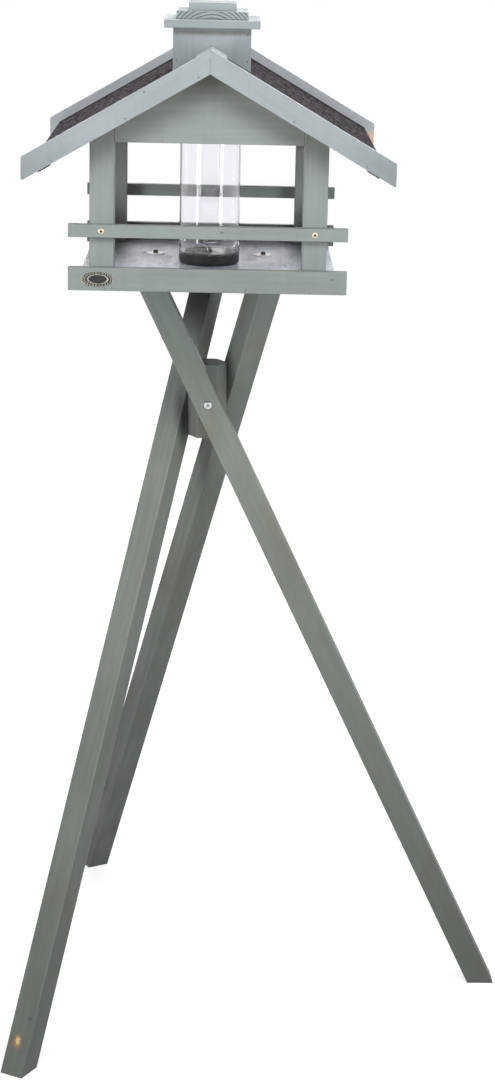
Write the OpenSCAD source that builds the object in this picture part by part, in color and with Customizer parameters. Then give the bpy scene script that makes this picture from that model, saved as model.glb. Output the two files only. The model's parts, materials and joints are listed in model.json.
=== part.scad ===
// Garden bird feeder: a roofed tray with a clear seed tube, on a bolted tripod of three splayed legs.
// X runs to the right, Y away from the front, Z up. Z = 0 is the ground.

/* [Tray] */
// Width of the front and rear fascia boards
tray_w = 340; // [320:1:400]
// Depth of the tray over both fascia boards
tray_d = 417.4; // [390:0.1:480]
// Height of the fascia's lower edge above the ground
tray_z = 1037.3; // [900:0.1:1200]
// Thickness of the fascias, rails, gables, barge boards and cap boards
board_t = 11; // [9:0.1:13]
// Height of a fascia board
fascia_h = 28.5; // [22:0.1:40]
// Distance from a fascia's end in to the floor sheet's side edge
floor_inset = 8.3; // [2:0.1:20]
// Thickness of the floor sheet
floor_t = 5; // [4:0.1:8]
// Height of a front or rear rail
rail_h = 15.8; // [12:0.1:22]
// Lower edge of the rails above the fascia's lower edge
rail_z = 65; // [50:0.1:90]

/* [Posts and gables] */
// Side of a square post
post_w = 30; // [24:0.1:34]
// Distance from a fascia's end in to a post's outer face
post_inset = 25.3; // [20:0.1:35]
// Height of a post's outer face above the fascia's lower edge
post_h = 184.7; // [170:0.1:210]
// Height of a gable board at its ends
gable_end_h = 23; // [12:0.1:40]

/* [Roof] */
// Slope of the roof in degrees
pitch = 30; // [26:0.1:34]
// How far a barge board's end stands out past a post
eave_over = 78.7; // [60:0.1:90]
// How far a barge board's face stands out past a fascia's face
gable_over = 39.4; // [26:0.1:60]
// Upright height of a barge board
barge_h = 28.3; // [26:0.1:32]
// Drop from a barge board's upper edge to the felt
felt_drop = 13; // [10:0.1:14]
// Thickness of the roofing felt
felt_t = 2; // [1.5:0.1:3]
// Thickness of a roof panel
panel_t = 9; // [7:0.1:10]
// How far a barge board's end stands out past the panel's eave
eave_back = 13.4; // [8:0.1:16]
// Thickness of an eave batten
batten_t = 4.4; // [3:0.1:8]
// Width of an eave batten
batten_w = 15; // [10:0.1:20]
// Distance from the panel's eave to the batten
batten_in = 6; // [4:0.1:10]
// Width of a ridge piece
ridge_w = 39; // [28:0.1:44]
// Upright height of a ridge piece above the felt
ridge_rise = 5; // [3:0.1:8]

/* [Chimney and cap] */
// Thickness of a chimney board
chimney_t = 9; // [7:0.1:12]
// Gap between the seed tube and the chimney's inside
tube_room = 0.8; // [0.5:0.1:4]
// Height of the chimney's top above the barge boards' peak
chimney_rise = 13.4; // [10:0.1:25]
// How far the lowest cap board stands out past the chimney
cap_over = 11; // [6:0.1:18]
// Distance from the lowest cap board's edge in to the middle one's
cap_mid_in = 15; // [8:0.1:20]
// Distance from the middle cap board's edge in to the top one's
cap_top_in = 15.2; // [8:0.1:24]
// Thickness of a cap board
cap_t = 10; // [9:0.1:13]
// Thickness of the locating board under the cap
locator_t = 6; // [4:0.1:6.4]
// Play between the locating board and the chimney's inside, on each side
locator_gap = 1.5; // [1:0.1:3]

/* [Seed tube] */
// Outer diameter of the seed tube
tube_d = 78.4; // [70:0.1:95]
// Wall of the seed tube
tube_wall = 2; // [1.5:0.1:3]
// Distance from the chimney's top down to the tube's top
tube_down = 7; // [6.6:0.1:10]
// Height of the base plug
plug_h = 15.6; // [12:0.1:20]
// Height of the plug's spigot inside the tube
spigot_h = 2.6; // [2:0.1:4]
// Diameter of a feed port's round top
port_d = 22; // [16:0.1:28]
// Height of a port's round centre above the plug
port_up = 3.4; // [2:0.1:6]
// Turn of the first feed port from the front, in degrees
port_turn = -18; // [-40:1:0]
// Gap between the tube and the hole through the roof
roof_hole_gap = 0.4; // [0.2:0.1:0.7]

/* [Tripod] */
// Side of a square leg
leg_w = 34; // [30:0.1:38]
// Tilt of a leg from upright, in degrees
leg_tilt = 25.7; // [23:0.1:28]
// Depth below the tray at which the legs cross the hub
cross_drop = 194.6; // [180:0.1:210]
// Distance across the flats of the hexagonal hub
hub_af = 46.7; // [44:0.1:56]
// Height of the hub
hub_h = 102; // [80:0.1:120]
// Depth of the hub's top below the tray
hub_drop = 146.3; // [135:0.1:155]
// Turn of the whole tripod about its upright axis, in degrees
stand_turn = 0.9; // [-3:0.1:3]
// Width of a bearer under the floor
bearer_w = 34; // [30:0.1:40]
// Height of a bearer under the floor
bearer_h = 40; // [34:0.1:42]

/* [Fasteners] */
// Diameter of a washer on the tray's floor
washer_d = 24; // [18:0.1:24]
// Thickness of a washer
washer_t = 1.5; // [1:0.1:2.5]
// Gap between the rear washer and the rear fascia
washer_gap = 1.5; // [1:0.1:6]
// Diameter of a tray bolt's shank
tray_bolt_d = 4; // [3:0.1:6]
// Diameter of a tray bolt's head
tray_head_d = 6.6; // [6.2:0.1:10]
// Height of a tray bolt's head
tray_head_h = 4.8; // [3:0.1:6]
// Length of a tray bolt inside the leg
tray_bolt_bite = 25; // [15:0.1:35]
// Shift of the front tray bolts back from the leg's middle plane
bolt_back = 7; // [0:0.1:9]
// Depth below a bearer at which a tray bolt meets its leg's axis
bolt_deep = 6; // [0:0.1:12]
// Diameter of a hub bolt's shank
hub_bolt_d = 6; // [5:0.1:8]
// Diameter of a hub bolt's head
hub_head_d = 11; // [10:0.1:14]
// Height of a hub bolt's head
hub_head_h = 4; // [3:0.1:6]
// Distance from the hub's axis to a hub bolt's tip
hub_bolt_stop = 7; // [7:0.1:12]
// Diameter of a rail screw's shank
rail_screw_d = 3.5; // [3:0.1:4.5]
// Diameter of a rail screw's head
rail_head_d = 7; // [6:0.1:8]
// Height of a rail screw's head
rail_head_h = 1.6; // [1:0.1:2.5]
// Depth of a rail screw in the post
rail_screw_bite = 20; // [12:0.1:25]
// Diameter of the base plug's screw
plug_screw_d = 4; // [3:0.1:5]
// Diameter of the base plug's screw head
plug_head_d = 8; // [7:0.1:10]
// Height of the base plug's screw head
plug_head_h = 2.2; // [1.5:0.1:3]
// Diameter of a nail
nail_d = 2; // [1.6:0.1:2.4]
// Depth of a nail in the second board
nail_bite = 14; // [10:0.1:20]
// Distance from the peak to a barge board's first nail
barge_nail_in = 14; // [10:0.1:30]
// Distance from the peak to a barge board's middle nail
barge_nail_mid = 100; // [60:0.1:130]
// Distance from a barge board's end to its last nail
barge_nail_end = 35.4; // [25:0.1:60]
// Upright height of a barge board's nails above the panel's underside
barge_nail_up = 1.9; // [1.8:0.1:5]
// Distance from a fascia's middle to its inner nails
fascia_nail_in = 46; // [20:0.1:70]
// Distance from a fascia's end to its outer nails
fascia_nail_end = 45; // [30:0.1:70]
// Height of a chimney board's lower nails above the felt
chimney_nail_low = 14; // [8:0.1:20]
// Distance from the chimney's top down to its upper nails
chimney_nail_high = 8; // [5:0.1:12]
// Radial gap around every fastener
fit_gap = 0.05; // [0.02:0.01:0.1]

/* [Badge] */
// Length of the blank oval badge
badge_w = 41; // [30:0.1:50]
// Height of the blank oval badge
badge_h = 18.5; // [14:0.1:22]
// Thickness of the badge
badge_t = 0.8; // [0.5:0.1:1.5]
// Distance from the fascia's left end to the badge's middle
badge_in = 36.5; // [30:0.1:60]

/* [Hidden] */
$fn = 64;

paint_light = [0.70, 0.74, 0.75];
paint_mid = [0.63, 0.66, 0.66];
paint_leg = [0.50, 0.54, 0.50];
stain = [0.63, 0.64, 0.67];
felt_grey = [0.30, 0.28, 0.29];
near_black = [0.12, 0.12, 0.11];
zinc = [0.78, 0.78, 0.76];
brass = [0.72, 0.58, 0.32];
clear = [0.92, 0.95, 0.98, 0.4];

// A cut runs this far past the faces that it opens
past = 1;
sides = [-1, 1];

half_d = tray_d / 2;
half_post = tray_w / 2 - post_inset;
post_in = half_post - post_w;
post_mid = half_post - post_w / 2;
inner_y = half_d - board_t;
roof_half = half_post + eave_over;
roof_y = half_d + gable_over;
eave_x = roof_half - eave_back;
felt_v = felt_t / cos(pitch);
panel_v = panel_t / cos(pitch);
batten_v = batten_t / cos(pitch);
peak_z = post_h + half_post * tan(pitch) + panel_v + felt_v + felt_drop;
chimney_z = peak_z + chimney_rise;

// Upright heights of the roof's planes at a distance x from the ridge
function barge_top(x) = peak_z - abs(x) * tan(pitch);
function felt_top(x) = barge_top(x) - felt_drop;
function panel_top(x) = felt_top(x) - felt_v;
function panel_under(x) = panel_top(x) - panel_v;
gable_z = panel_under(post_in) - gable_end_h;
function turned(a, p) = [p.x * cos(a) - p.y * sin(a), p.x * sin(a) + p.y * cos(a)];

hub_a = hub_af / 2;
leg_mid = hub_a + leg_w / 2;
leg_cut = leg_w / 2 / cos(leg_tilt);
cross_z = tray_z - cross_drop;
leg_top = tray_z - bearer_h;
leg_angles = [0, 120, 240];
foot_r = cross_z * tan(leg_tilt);
top_r = (cross_z - leg_top) * tan(leg_tilt);

// The tray bolts meet the legs' axes just below the bearers
bolt_u = (cross_drop - bearer_h - bolt_deep) * tan(leg_tilt);
front_bolt_y = bolt_back - leg_mid;
rear_bolt = turned(leg_angles[2], [-bolt_u, -leg_mid]);
tray_bolt_spots = [[-bolt_u, front_bolt_y], [bolt_u, front_bolt_y], rear_bolt];
front_bearer_y = (front_bolt_y - leg_mid) / 2;

// The hub's axis stands this far behind the tray's middle
hub_back = inner_y - washer_gap - washer_d / 2 - rear_bolt.y;

feet = [for (a = leg_angles) for (s = sides) for (n = [0, leg_w])
    turned(a + stand_turn, [foot_r + s * leg_cut, -hub_a - n])];
x_low = min(min([for (p = feet) p.x]), -roof_half);
x_high = max(max([for (p = feet) p.x]), roof_half);
y_low = min(min([for (p = feet) p.y]), -hub_back - roof_y);
y_high = max(max([for (p = feet) p.y]), roof_y - hub_back);
middle = [(x_low + x_high) / 2, (y_low + y_high) / 2];

floor_top = floor_t;
tube_r = tube_d / 2;
bore_r = tube_r - tube_wall;
plug_top = floor_top + plug_h;
shoulder = plug_top - spigot_h;
tube_top = chimney_z - tube_down;
port_z = plug_top + port_up;
roof_hole_r = tube_r + roof_hole_gap;
chimney_in = tube_r + tube_room;
chimney_half = chimney_in + chimney_t;
cap_low_w = 2 * (chimney_half + cap_over);
cap_mid_w = cap_low_w - 2 * cap_mid_in;
cap_top_w = cap_mid_w - 2 * cap_top_in;
rail_screw_z = rail_z + rail_h / 2;

// Nails through each barge board, low into the panel's end
barge_nail_x = [barge_nail_in, barge_nail_mid, roof_half - barge_nail_end];
function barge_nail_z(x) = panel_under(x) + barge_nail_up;
chimney_nail_x = chimney_half - chimney_t / 2;
chimney_nail_z = [felt_top(chimney_half) + chimney_nail_low, chimney_z - chimney_nail_high];
fascia_nail_x = [fascia_nail_in, tray_w / 2 - fascia_nail_end];
fascia_nail_z = floor_t / 2;

// The hub's upright axis, at the origin on the ground
module stand_frame() {
    translate([-middle.x, -middle.y, 0]) rotate([0, 0, stand_turn]) children();
}

// The tray's middle, level with the fascia's lower edge
module tray_frame() {
    translate([-middle.x, -middle.y - hub_back, tray_z]) children();
}

// An outline in X and Z, given a thickness from y0 to y1
module upright(y0, y1) {
    translate([0, y1, 0]) rotate([90, 0, 0]) linear_extrude(y1 - y0) children();
}

// A round bar along Y from y0 to y1
module bar_y(d, y0, y1) {
    translate([0, y1, 0]) rotate([90, 0, 0]) cylinder(d = d, h = y1 - y0);
}

module tray_bolt_holes() {
    for (p = tray_bolt_spots)
        translate([p.x, p.y + hub_back, -bearer_h - tray_bolt_bite - fit_gap])
            cylinder(d = tray_bolt_d + 2 * fit_gap, h = bearer_h + tray_bolt_bite + floor_top + past);
}

module floor_board() {
    color(stain) tray_frame() difference() {
        translate([floor_inset - tray_w / 2, -inner_y, 0])
            cube([tray_w - 2 * floor_inset, 2 * inner_y, floor_t]);
        tray_bolt_holes();
        translate([0, 0, -past]) cylinder(d = plug_screw_d + 2 * fit_gap, h = floor_t + 2 * past);
        for (s = sides) fascia_nail_shafts(s, nail_d + 2 * fit_gap, fit_gap);
    }
}

module fascia_nail_shafts(s, d, extra) {
    for (side = sides) for (x = fascia_nail_x) translate([side * x, 0, fascia_nail_z])
        rotate([0, 0, s < 0 ? 0 : 180]) bar_y(d, -half_d - extra, -inner_y + nail_bite + extra);
}

module fascia(s) {
    color(paint_mid) tray_frame() difference() {
        translate([-tray_w / 2, s < 0 ? -half_d : inner_y, 0]) cube([tray_w, board_t, fascia_h]);
        fascia_nail_shafts(s, nail_d + 2 * fit_gap, fit_gap);
    }
}

module rail_screws(s) {
    color(brass) tray_frame() for (side = sides)
        translate([side * post_mid, 0, rail_screw_z]) rotate([0, 0, s < 0 ? 0 : 180]) {
            bar_y(rail_screw_d, -half_d - fit_gap, -inner_y + rail_screw_bite);
            bar_y(rail_head_d, -half_d - rail_head_h, -half_d);
        }
}

module rail_screw_holes() {
    for (side = sides) translate([side * post_mid, 0, rail_screw_z]) for (turn = [0, 180])
        rotate([0, 0, turn])
            bar_y(rail_screw_d + 2 * fit_gap, -half_d - past, -inner_y + rail_screw_bite + fit_gap);
}

module rail(s) {
    color(paint_mid) tray_frame() difference() {
        translate([-tray_w / 2, s < 0 ? -half_d : inner_y, rail_z]) cube([tray_w, board_t, rail_h]);
        rail_screw_holes();
    }
}

module post(side, s) {
    color(paint_mid) tray_frame() difference() {
        upright(s < 0 ? -inner_y : inner_y - post_w, s < 0 ? -inner_y + post_w : inner_y)
            polygon([
                [side * post_in, floor_top], [side * half_post, floor_top],
                [side * half_post, panel_under(half_post)], [side * post_in, panel_under(post_in)]
            ]);
        rail_screw_holes();
    }
}

module gable(s) {
    color(paint_mid) tray_frame()
        upright(s < 0 ? -inner_y : inner_y - board_t, s < 0 ? -inner_y + board_t : inner_y)
            polygon([
                [-post_in, gable_z], [post_in, gable_z], [post_in, panel_under(post_in)],
                [0, panel_under(0)], [-post_in, panel_under(post_in)]
            ]);
}

module barge_nail_shafts(s, d, extra) {
    for (side = sides) for (x = barge_nail_x) translate([side * x, 0, barge_nail_z(x)])
        rotate([0, 0, s < 0 ? 0 : 180])
            bar_y(d, -roof_y - extra, -roof_y + board_t + nail_bite + extra);
}

module barge(side, s) {
    color(paint_light) tray_frame() difference() {
        upright(s < 0 ? -roof_y : roof_y - board_t, s < 0 ? -roof_y + board_t : roof_y)
            polygon([
                [0, barge_top(0)], [side * roof_half, barge_top(roof_half)],
                [side * roof_half, barge_top(roof_half) - barge_h], [0, barge_top(0) - barge_h]
            ]);
        barge_nail_shafts(s, nail_d + 2 * fit_gap, fit_gap);
    }
}

module roof_hole() {
    translate([0, 0, floor_top]) cylinder(r = roof_hole_r, h = chimney_z);
}

module roof_panel(side) {
    color(stain) tray_frame() difference() {
        upright(-roof_y + board_t, roof_y - board_t)
            polygon([
                [0, panel_top(0)], [side * eave_x, panel_top(eave_x)],
                [side * eave_x, panel_under(eave_x)], [0, panel_under(0)]
            ]);
        roof_hole();
        for (s = sides) barge_nail_shafts(s, nail_d + 2 * fit_gap, fit_gap);
    }
}

module roof_felt(side) {
    color(felt_grey) tray_frame() difference() {
        upright(-roof_y + board_t, roof_y - board_t)
            polygon([
                [0, felt_top(0)], [side * eave_x, felt_top(eave_x)],
                [side * eave_x, panel_top(eave_x)], [0, panel_top(0)]
            ]);
        roof_hole();
    }
}

module eave_batten(side) {
    far = eave_x - batten_in;
    near = far - batten_w;
    color(paint_mid) tray_frame() upright(-roof_y + board_t, roof_y - board_t)
        polygon([
            [side * near, panel_under(near)], [side * far, panel_under(far)],
            [side * far, panel_under(far) - batten_v], [side * near, panel_under(near) - batten_v]
        ]);
}

// The ridge strip beds on the felt, from the barge boards to the chimney
module ridge(s) {
    w = ridge_w / 2;
    color(paint_light) tray_frame() rotate([0, 0, s < 0 ? 0 : 180])
        upright(-roof_y + board_t, -chimney_half)
            polygon([
                [-w, felt_top(w)], [0, felt_top(0)], [w, felt_top(w)],
                [w, felt_top(w) + ridge_rise], [0, felt_top(0) + ridge_rise],
                [-w, felt_top(w) + ridge_rise]
            ]);
}

module chimney_nail_shafts(d, extra) {
    for (turn = [0, 180]) rotate([0, 0, turn]) for (side = sides) for (z = chimney_nail_z)
        translate([side * chimney_nail_x, 0, z])
            bar_y(d, -chimney_half - extra, -chimney_in + nail_bite + extra);
}

module chimney_end(s) {
    color(paint_light) tray_frame() difference() {
        upright(s < 0 ? -chimney_half : chimney_in, s < 0 ? -chimney_in : chimney_half)
            polygon([
                [-chimney_half, felt_top(chimney_half)], [0, felt_top(0)],
                [chimney_half, felt_top(chimney_half)], [chimney_half, chimney_z], [-chimney_half, chimney_z]
            ]);
        chimney_nail_shafts(nail_d + 2 * fit_gap, fit_gap);
    }
}

module chimney_side(side) {
    color(paint_light) tray_frame() difference() {
        upright(-chimney_in, chimney_in)
            polygon([
                [side * chimney_half, felt_top(chimney_half)], [side * chimney_in, felt_top(chimney_in)],
                [side * chimney_in, chimney_z], [side * chimney_half, chimney_z]
            ]);
        chimney_nail_shafts(nail_d + 2 * fit_gap, fit_gap);
    }
}

module cap_board(w, level) {
    color(paint_light) tray_frame()
        translate([-w / 2, -w / 2, chimney_z + level * cap_t]) cube([w, w, cap_t]);
}

module cap_locator() {
    w = 2 * (chimney_in - locator_gap);
    color(stain) tray_frame() translate([-w / 2, -w / 2, chimney_z - locator_t]) cube([w, w, locator_t]);
}

module seed_tube() {
    color(clear) tray_frame() difference() {
        translate([0, 0, shoulder]) cylinder(r = tube_r, h = tube_top - shoulder);
        translate([0, 0, shoulder - past]) cylinder(r = bore_r, h = tube_top - shoulder + 2 * past);
        for (turn = [0, 90, 180, 270]) rotate([0, 0, port_turn + turn]) {
            translate([0, 0, port_z]) bar_y(port_d, -tube_r - past, 0);
            translate([-port_d / 2, -tube_r - past, plug_top]) cube([port_d, tube_r + past, port_z - plug_top]);
        }
    }
}

module base_plug() {
    color(near_black) tray_frame() difference() {
        union() {
            translate([0, 0, floor_top]) cylinder(r = tube_r, h = shoulder - floor_top);
            translate([0, 0, floor_top]) cylinder(r = bore_r - fit_gap, h = plug_h);
        }
        translate([0, 0, floor_top - past]) cylinder(d = plug_screw_d + 2 * fit_gap, h = plug_h + 2 * past);
    }
}

module plug_screw() {
    color(zinc) tray_frame() {
        cylinder(d = plug_screw_d, h = plug_top + fit_gap);
        translate([0, 0, plug_top]) cylinder(d = plug_head_d, h = plug_head_h);
    }
}

module bearer(y) {
    color(paint_leg) tray_frame() difference() {
        translate([-half_post, hub_back + y - bearer_w / 2, -bearer_h])
            cube([2 * half_post, bearer_w, bearer_h]);
        tray_bolt_holes();
    }
}

module hub_bolt_shanks(extra) {
    for (a = leg_angles) rotate([0, 0, a]) translate([0, 0, cross_z])
        bar_y(hub_bolt_d + 2 * extra, -hub_a - leg_w - (extra > 0 ? past : fit_gap), extra - hub_bolt_stop);
}

module tripod_hub() {
    color(paint_leg) stand_frame() difference() {
        translate([0, 0, tray_z - hub_drop - hub_h]) cylinder(r = hub_a / cos(30), h = hub_h, $fn = 6);
        hub_bolt_shanks(fit_gap);
    }
}

module leg(a) {
    color(paint_leg) difference() {
        stand_frame() difference() {
            rotate([0, 0, a]) upright(-hub_a - leg_w, -hub_a)
                polygon([
                    [foot_r - leg_cut, 0], [foot_r + leg_cut, 0],
                    [top_r + leg_cut, leg_top], [top_r - leg_cut, leg_top]
                ]);
            hub_bolt_shanks(fit_gap);
        }
        tray_frame() tray_bolt_holes();
    }
}

module hub_bolts() {
    color(zinc) stand_frame() {
        hub_bolt_shanks(0);
        for (a = leg_angles) rotate([0, 0, a]) translate([0, 0, cross_z])
            bar_y(hub_head_d, -hub_a - leg_w - hub_head_h, -hub_a - leg_w);
    }
}

module tray_bolts() {
    color(near_black) tray_frame() for (p = tray_bolt_spots) translate([p.x, p.y + hub_back, 0]) {
        translate([0, 0, -bearer_h - tray_bolt_bite])
            cylinder(d = tray_bolt_d, h = bearer_h + tray_bolt_bite + floor_top + washer_t + fit_gap);
        translate([0, 0, floor_top + washer_t]) cylinder(d = tray_head_d, h = tray_head_h);
    }
}

module tray_washers() {
    color(zinc) tray_frame() for (p = tray_bolt_spots)
        translate([p.x, p.y + hub_back, floor_top]) difference() {
            cylinder(d = washer_d, h = washer_t);
            translate([0, 0, -past]) cylinder(d = tray_bolt_d + 2 * fit_gap, h = washer_t + 2 * past);
        }
}

module barge_nails(s) {
    color(near_black) tray_frame() barge_nail_shafts(s, nail_d, 0);
}

module chimney_nails() {
    color(near_black) tray_frame() chimney_nail_shafts(nail_d, 0);
}

module fascia_nails() {
    color(near_black) tray_frame() for (s = sides) fascia_nail_shafts(s, nail_d, 0);
}

module badge_plate() {
    steps = 48;
    color(near_black) tray_frame() translate([badge_in - tray_w / 2, 0, fascia_h / 2])
        upright(-half_d - badge_t, -half_d)
            polygon([for (i = [0 : steps - 1])
                [badge_w / 2 * cos(i * 360 / steps), badge_h / 2 * sin(i * 360 / steps)]]);
}

floor_board();
fascia(-1);  // front_fascia
fascia(1);  // rear_fascia
rail(-1);  // front_rail
rail(1);  // rear_rail
post(-1, -1);  // post_front_left
post(1, -1);  // post_front_right
post(-1, 1);  // post_rear_left
post(1, 1);  // post_rear_right
gable(-1);  // front_gable
gable(1);  // rear_gable
barge(-1, -1);  // barge_front_left
barge(1, -1);  // barge_front_right
barge(-1, 1);  // barge_rear_left
barge(1, 1);  // barge_rear_right
roof_panel(-1);  // roof_panel_left
roof_panel(1);  // roof_panel_right
roof_felt(-1);  // roof_felt_left
roof_felt(1);  // roof_felt_right
eave_batten(-1);  // eave_batten_left
eave_batten(1);  // eave_batten_right
ridge(-1);  // ridge_front
ridge(1);  // ridge_rear
chimney_end(-1);  // chimney_front
chimney_end(1);  // chimney_rear
chimney_side(-1);  // chimney_left
chimney_side(1);  // chimney_right
cap_board(cap_low_w, 0);  // cap_lower
cap_board(cap_mid_w, 1);  // cap_middle
cap_board(cap_top_w, 2);  // cap_upper
cap_locator();
seed_tube();
base_plug();
plug_screw();
bearer(front_bearer_y);  // front_bearer
bearer(rear_bolt.y);  // rear_bearer
tripod_hub();
leg(leg_angles[0]);  // leg_right
leg(leg_angles[1]);  // leg_rear_left
leg(leg_angles[2]);  // leg_front_left
hub_bolts();
tray_bolts();
tray_washers();
rail_screws(-1);  // rail_screws_front
rail_screws(1);  // rail_screws_rear
barge_nails(-1);  // barge_nails_front
barge_nails(1);  // barge_nails_rear
chimney_nails();
fascia_nails();
badge_plate();
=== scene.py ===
import json
import math
from functools import cache

import bmesh
import bpy
from bpy.props import FloatProperty, FloatVectorProperty, PointerProperty
from mathutils import Matrix, Vector


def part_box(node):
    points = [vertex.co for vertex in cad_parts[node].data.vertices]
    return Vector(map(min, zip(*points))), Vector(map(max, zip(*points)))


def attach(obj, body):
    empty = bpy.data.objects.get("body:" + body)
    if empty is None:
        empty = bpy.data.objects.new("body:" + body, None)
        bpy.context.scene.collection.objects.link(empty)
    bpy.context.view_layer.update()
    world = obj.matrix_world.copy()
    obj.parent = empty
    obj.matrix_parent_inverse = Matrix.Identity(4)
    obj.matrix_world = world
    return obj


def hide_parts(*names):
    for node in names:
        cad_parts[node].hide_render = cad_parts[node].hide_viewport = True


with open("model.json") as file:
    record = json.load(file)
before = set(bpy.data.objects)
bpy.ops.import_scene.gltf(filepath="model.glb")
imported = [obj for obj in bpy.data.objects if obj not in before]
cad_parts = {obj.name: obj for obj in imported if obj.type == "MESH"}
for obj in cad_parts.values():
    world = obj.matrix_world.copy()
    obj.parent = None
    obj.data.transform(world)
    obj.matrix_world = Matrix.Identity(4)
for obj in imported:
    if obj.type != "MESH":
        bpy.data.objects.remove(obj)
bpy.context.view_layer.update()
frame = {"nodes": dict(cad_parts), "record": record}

bl_info = {
    "name": "Bird Feeder on a Tripod",
    "version": (1, 0, 0),
    "blender": (4, 5, 0),
    "location": "3D View > Sidebar > Bird Feeder",
    "description": "Dresses the packed feeder's solids in timber, felt, clear tube and fasteners",
    "category": "Object",
}

MM = 0.001

BODY_OF = {
    node: body
    for body, nodes in frame["record"]["behaviour"]["bodies"].items()
    for node in nodes
}

# The photograph's camera: its place in metres, its angles in radians and its lens
CAMERA_PLACE = (-0.06179, -3.25891, 1.52983)
CAMERA_YAW = 0.011276
CAMERA_PITCH = 0.267752
CAMERA_ROLL = 0.021133
CAMERA_LENS = 80.773
SENSOR = 36.0

X, Y, Z = Vector((1, 0, 0)), Vector((0, 1, 0)), Vector((0, 0, 1))

# An edge that turns more than this is an outward corner; points this close are one point
OUTWARD = math.radians(25)
CAD_MERGE = 0.01 * MM
SPIN_MERGE = 0.001 * MM

# How far from an arris the paint shows wear
WEAR_WIDTH = 2.5 * MM

# The floor's disc, and the distances between which its glow rises to plain white
FLOOR_RADIUS = 7.0
FLOOR_DROP = 0.2 * MM
GLOW_REACH = (0.5, 3.0)
GLOW_NEAR = 0.72

# How far above the plug a feed port reaches, how far down the face of its arch looks, and
# the painted glow of the arch's cut face, which stands for light glinting through the cut
PORT_REACH = 40 * MM
ARCH_LOOK = -0.45
PORT_PAINTED_GLOW = 0.4

# The tube's refraction, lower than a real plastic's, for its look
TUBE_IOR = 1.12

# How far each tone shifts the pattern of the grain along a board and across it
GRAIN_SHIFT = 7.3
PITH_SHIFT = 0.012

# Granules and clumps of them in a metre of felt
GRANULES = 560.0
CLUMPS = 340.0

# Marks in the finish and painted shade, in metres: the middle of each and its reach to each side
KNOT = ((-0.3190, -0.3504, 0.0404), (0.0104, 0.0120, 0.0190))
KNOT_HEART = ((-0.3182, -0.3504, 0.0424), (0.0070, 0.0090, 0.0128))
LEG_NICKS = (
    ((-0.3023, -0.3432, 0.0696), (0.0040, 0.0050, 0.0022)),
    ((-0.2954, -0.2787, 0.1937), (0.0022, 0.0050, 0.0034)),
)
# Painted shade in the shelter of the tray and in the joints between the legs and the hub
LEG_PAINTED_SHADE = (
    ((-0.1040, 0.0380, 0.9750), (0.0500, 0.0450, 0.1150)),
    ((-0.1190, -0.0200, 0.8150), (0.0150, 0.0300, 0.0650)),
)
TRAY_DENTS = (
    ((-0.0376, -0.3279, 1.0418), (0.0014, 0.0030, 0.0014)),
    ((0.0675, -0.3279, 1.0561), (0.0016, 0.0030, 0.0015)),
    ((-0.0675, -0.3279, 1.1115), (0.0034, 0.0030, 0.0015)),
)
FLOOR_SCRAPES = (
    ((-0.1274, -0.1376, 1.0423), (0.0062, 0.0300, 0.0040)),
    ((0.0145, -0.1365, 1.0423), (0.0050, 0.0260, 0.0040)),
    ((-0.0840, -0.1650, 1.0423), (0.0420, 0.0200, 0.0040)),
)
# Painted shade at the rear posts' feet, inside the rear fascia and round the floor's rear edge
TRAY_PAINTED_SHADE = (
    ((-0.2140, 0.0485, 1.0500), (0.0500, 0.0900, 0.0700)),
    ((0.0450, 0.0485, 1.0500), (0.0500, 0.0900, 0.0700)),
    ((-0.0844, 0.0770, 1.0560), (0.3000, 0.0110, 0.0300)),
)
FLOOR_PAINTED_SHADE = (
    ((-0.0844, 0.0950, 1.0420), (0.2600, 0.0700, 0.0200)),
    ((-0.2150, 0.0200, 1.0420), (0.0480, 0.2300, 0.0200)),
    ((0.0460, 0.0200, 1.0420), (0.0440, 0.2300, 0.0200)),
)
# An empty nail hole in a front barge board, and painted shade at the front boards' low ends
BARGE_HOLE = ((-0.1622, -0.3673, 1.2812), (0.0015, 0.0030, 0.0015))
BARGE_PAINTED_SHADE = (
    ((-0.3150, -0.3673, 1.1850), (0.1300, 0.0500, 0.0700)),
    ((0.1460, -0.3673, 1.1850), (0.1300, 0.0500, 0.0700)),
)
BARE_BARGE_END = ((0.1400, 0.1230, 1.1800), (0.0150, 0.0300, 0.0200))
# Painted shade on the chimney just under its cap
CHIMNEY_CAP_SHADE = ((-0.0844, -0.1190, 1.3385), (0.2000, 0.2000, 0.0062))


def rgb(red, green, blue):
    """A colour of 0 to 255 as it is seen, in Blender's linear numbers."""
    return tuple(
        c / 12.92 if c <= 0.04045 else ((c + 0.055) / 1.055) ** 2.4
        for c in (red / 255, green / 255, blue / 255)
    )


def opaque(colour):
    return (*colour, 1.0)


def scaled(colour, factor):
    """A colour made darker or lighter, opaque."""
    return opaque(tuple(min(c * factor, 1.0) for c in colour))


# Tints of single marks and finishes
HEARTWOOD = opaque(rgb(236, 206, 160))
# Brownish grey of the painted shade under the chimney's cap
CAP_SHADE_TINT = opaque(rgb(104, 96, 84))
RAW_BOARD_END = opaque(rgb(236, 204, 178))
BROWN_GRANULE = opaque(rgb(112, 84, 78))
PLUM_GRANULE = opaque(rgb(88, 78, 96))
CUT_LIGHT, CUT_DARK = opaque(rgb(250, 252, 255)), opaque(rgb(214, 220, 226))
SOCKET_LIGHT, SOCKET_DARK = opaque(rgb(128, 110, 80)), opaque(rgb(84, 70, 48))
# Near white of the washers: a painted reflection of the white surroundings
WASHER_REFLECTION_WHITE = rgb(254, 254, 255)


def length(name, about, default, low, high):
    return FloatProperty(
        name=name,
        description=about,
        default=default,
        min=low,
        max=high,
        precision=5,
        subtype="DISTANCE",
        unit="LENGTH",
    )


def amount(name, about, default, high=1.0):
    return FloatProperty(name=name, description=about, default=default, min=0.0, max=high)


def colour(name, about, default):
    return FloatVectorProperty(
        name=name, description=about, default=default, min=0, max=1, subtype="COLOR"
    )


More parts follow.
